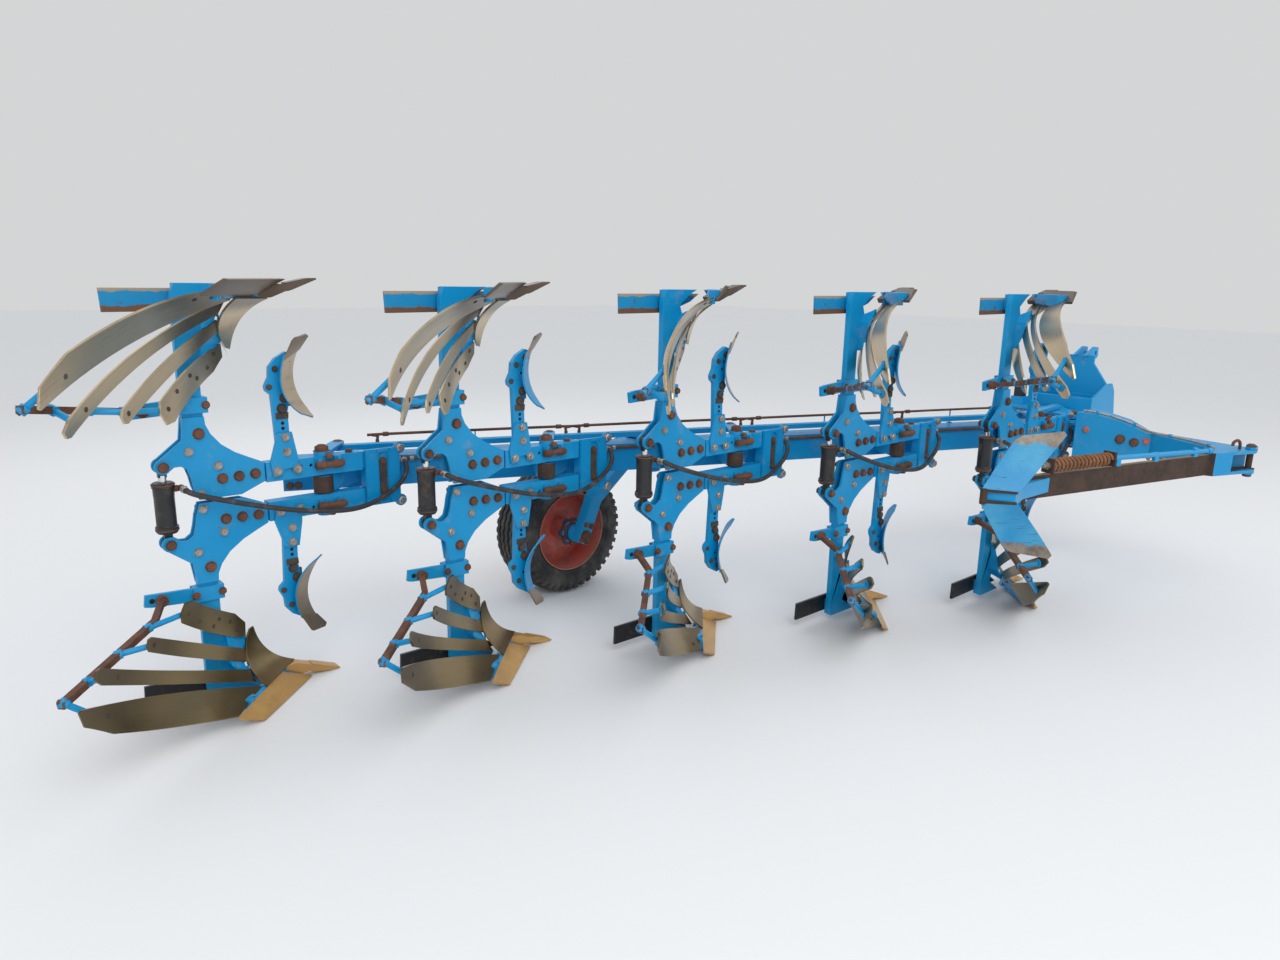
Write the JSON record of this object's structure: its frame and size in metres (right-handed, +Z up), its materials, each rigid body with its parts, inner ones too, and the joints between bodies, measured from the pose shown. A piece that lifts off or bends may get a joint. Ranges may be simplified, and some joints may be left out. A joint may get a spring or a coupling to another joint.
{
  "type": "reversible mouldboard plough",
  "caption": "Mounted reversible plough: a slanted square beam with pairs of slatted mouldboard bodies, skimmers, a depth wheel, a packer arm and a turnover headstock.",
  "frame": {"origin": "on the ground, under the middle of the box around the whole plough as it stands parked", "axes": "+X the direction of travel, +Y to the left, +Z up"},
  "size_m": [6.1928, 2.8451, 1.744],
  "materials": {
    "blue_paint": "bright blue machine paint, weathered",
    "worn_share_steel": "ground by soil, with a tan film of rust",
    "worn_mouldboard_steel": "polished by soil, tarnished",
    "dark_blue_steel": "worn dark paint",
    "black_paint": "satin black",
    "hose_rubber": "matte rubber with grey dust",
    "rusty_steel": "dull rust",
    "chromed_rod": "polished chrome",
    "red_paint": "faded red paint",
    "tyre_rubber": "dusty black rubber",
    "grey_paint": "worn dark grey paint"
  },
  "bodies": {
    "headstock": {"headstock": "blue_paint", "cross_shaft": "worn_share_steel"},
    "turn_frame": {"turn_frame": "blue_paint"},
    "turnover_ram": {"turnover_cylinder": "black_paint"},
    "beam": {"main_beam": "blue_paint", "beam_lines": "rusty_steel"},
    "control_rod": {"control_rod": "blue_paint"},
    "width_barrel": {"width_barrel": "black_paint"},
    "width_rod": {"width_rod": "chromed_rod"},
    "wheel_bracket": {"wheel_bracket": "blue_paint"},
    "wheel_arm": {"wheel_arm": "blue_paint"},
    "wheel": {"wheel_rim": "red_paint", "tyre": "tyre_rubber"},
    "packer_arm": {"packer_arm": "blue_paint", "guide_plates": "blue_paint", "packer_spring": "rusty_steel"},
    "parking_leg": {"parking_leg": "grey_paint"},
    "pair_1": {"carrier_1": "blue_paint", "legs_1": "blue_paint", "shares_1": "worn_share_steel", "landsides_1": "dark_blue_steel", "mouldboards_1": "worn_mouldboard_steel", "skimmers_1": "blue_paint", "trip_cylinder_1": "black_paint", "trip_hose_1": "hose_rubber"},
    "pair_2": {"carrier_2": "blue_paint", "legs_2": "blue_paint", "shares_2": "worn_share_steel", "landsides_2": "dark_blue_steel", "mouldboards_2": "worn_mouldboard_steel", "skimmers_2": "blue_paint", "trip_cylinder_2": "black_paint", "trip_hose_2": "hose_rubber"},
    "pair_3": {"carrier_3": "blue_paint", "legs_3": "blue_paint", "shares_3": "worn_share_steel", "landsides_3": "dark_blue_steel", "mouldboards_3": "worn_mouldboard_steel", "skimmers_3": "blue_paint", "trip_cylinder_3": "black_paint", "trip_hose_3": "hose_rubber"},
    "pair_4": {"carrier_4": "blue_paint", "legs_4": "blue_paint", "shares_4": "worn_share_steel", "landsides_4": "dark_blue_steel", "mouldboards_4": "worn_mouldboard_steel", "skimmers_4": "blue_paint", "trip_cylinder_4": "black_paint", "trip_hose_4": "hose_rubber"},
    "pair_5": {"carrier_5": "blue_paint", "legs_5": "blue_paint", "shares_5": "worn_share_steel", "landsides_5": "dark_blue_steel", "mouldboards_5": "worn_mouldboard_steel", "skimmers_5": "blue_paint", "trip_cylinder_5": "black_paint", "trip_hose_5": "hose_rubber"}
  },
  "joints": [
    {"name": "turnover", "type": "hinge", "parent": "headstock", "child": "turn_frame", "pos_m": [2.79832, -0.12247, 0.872], "axis": [1, 0, 0], "range_deg": [0, 180]},
    {"name": "turnover_ram_swing", "type": "hinge", "parent": "headstock", "child": "turnover_ram", "pos_m": [3.02832, -0.12247, 1.232], "axis": [1, 0, 0], "range_deg": [0, 43]},
    {"name": "width", "type": "hinge", "parent": "turn_frame", "child": "beam", "pos_m": [2.35832, -0.34958, 0.872], "axis": [0, 0, 1], "range_deg": [-8, 3.5]},
    {"name": "control_rod_swing", "type": "hinge", "parent": "turn_frame", "child": "control_rod", "pos_m": [2.50832, -0.16958, 0.984], "axis": [0, 0, 1], "range_deg": [-8.1, 3.6]},
    {"name": "width_barrel_swing", "type": "hinge", "parent": "turn_frame", "child": "width_barrel", "pos_m": [2.51332, -0.00247, 0.872], "axis": [0, 0, 1], "range_deg": [-5.5, 2.5]},
    {"name": "width_rod_slide", "type": "slide", "parent": "width_barrel", "child": "width_rod", "axis": [-0.9973, -0.0732, 0], "range_m": [-0.048, 0.021]},
    {"name": "wheel_bracket_swivel", "type": "hinge", "parent": "beam", "child": "wheel_bracket", "pos_m": [-0.35242, 0.69097, 0.872], "axis": [0, 0, 1], "range_deg": [-3.6, 8.1]},
    {"name": "depth_wheel", "type": "hinge", "parent": "wheel_bracket", "child": "wheel_arm", "pos_m": [-0.29242, 0.90663, 0.872], "axis": [0, 1, 0], "range_deg": [0, 134.6]},
    {"name": "wheel_spin", "type": "hinge", "parent": "wheel_arm", "child": "wheel", "pos_m": [-0.50642, 1.28763, 0.36], "axis": [0, 1, 0], "continuous": true},
    {"name": "packer_arm_swing", "type": "hinge", "parent": "beam", "child": "packer_arm", "pos_m": [2.22832, -0.42747, 0.872], "axis": [0, 0, 1], "range_deg": [0, 50]},
    {"name": "parking_leg", "type": "slide", "parent": "turn_frame", "child": "parking_leg", "axis": [0, 0, 1], "range_m": [0, 0.45]},
    {"name": "pair_1_swivel", "type": "hinge", "parent": "beam", "child": "pair_1", "pos_m": [-1.966, 1.039, 0.872], "axis": [0, 0, 1], "range_deg": [-3.6, 8.1], "deforming": ["trip_hose_1"]},
    {"name": "pair_2_swivel", "type": "hinge", "parent": "beam", "child": "pair_2", "pos_m": [-1.03242, 0.68063, 0.872], "axis": [0, 0, 1], "range_deg": [-3.6, 8.1], "deforming": ["trip_hose_2"]},
    {"name": "pair_3_swivel", "type": "hinge", "parent": "beam", "child": "pair_3", "pos_m": [-0.09884, 0.32226, 0.872], "axis": [0, 0, 1], "range_deg": [-3.6, 8.1], "deforming": ["trip_hose_3"]},
    {"name": "pair_4_swivel", "type": "hinge", "parent": "beam", "child": "pair_4", "pos_m": [0.83474, -0.0361, 0.872], "axis": [0, 0, 1], "range_deg": [-3.6, 8.1], "deforming": ["trip_hose_4"]},
    {"name": "pair_5_swivel", "type": "hinge", "parent": "beam", "child": "pair_5", "pos_m": [1.76832, -0.39447, 0.872], "axis": [0, 0, 1], "range_deg": [-3.6, 8.1], "deforming": ["trip_hose_5"]}
  ],
  "couplings": [
    {"joint": "turnover_ram_swing", "follows": "turnover", "ratio": 0.2361},
    {"joint": "control_rod_swing", "follows": "width", "ratio": 1},
    {"joint": "width_barrel_swing", "follows": "width", "ratio": 0.664},
    {"joint": "width_rod_slide", "follows": "width", "m_per_rad": 0.339},
    {"joint": "wheel_bracket_swivel", "follows": "width", "ratio": -1},
    {"joint": "pair_1_swivel", "follows": "width", "ratio": -1},
    {"joint": "pair_2_swivel", "follows": "width", "ratio": -1},
    {"joint": "pair_3_swivel", "follows": "width", "ratio": -1},
    {"joint": "pair_4_swivel", "follows": "width", "ratio": -1},
    {"joint": "pair_5_swivel", "follows": "width", "ratio": -1}
  ]
}
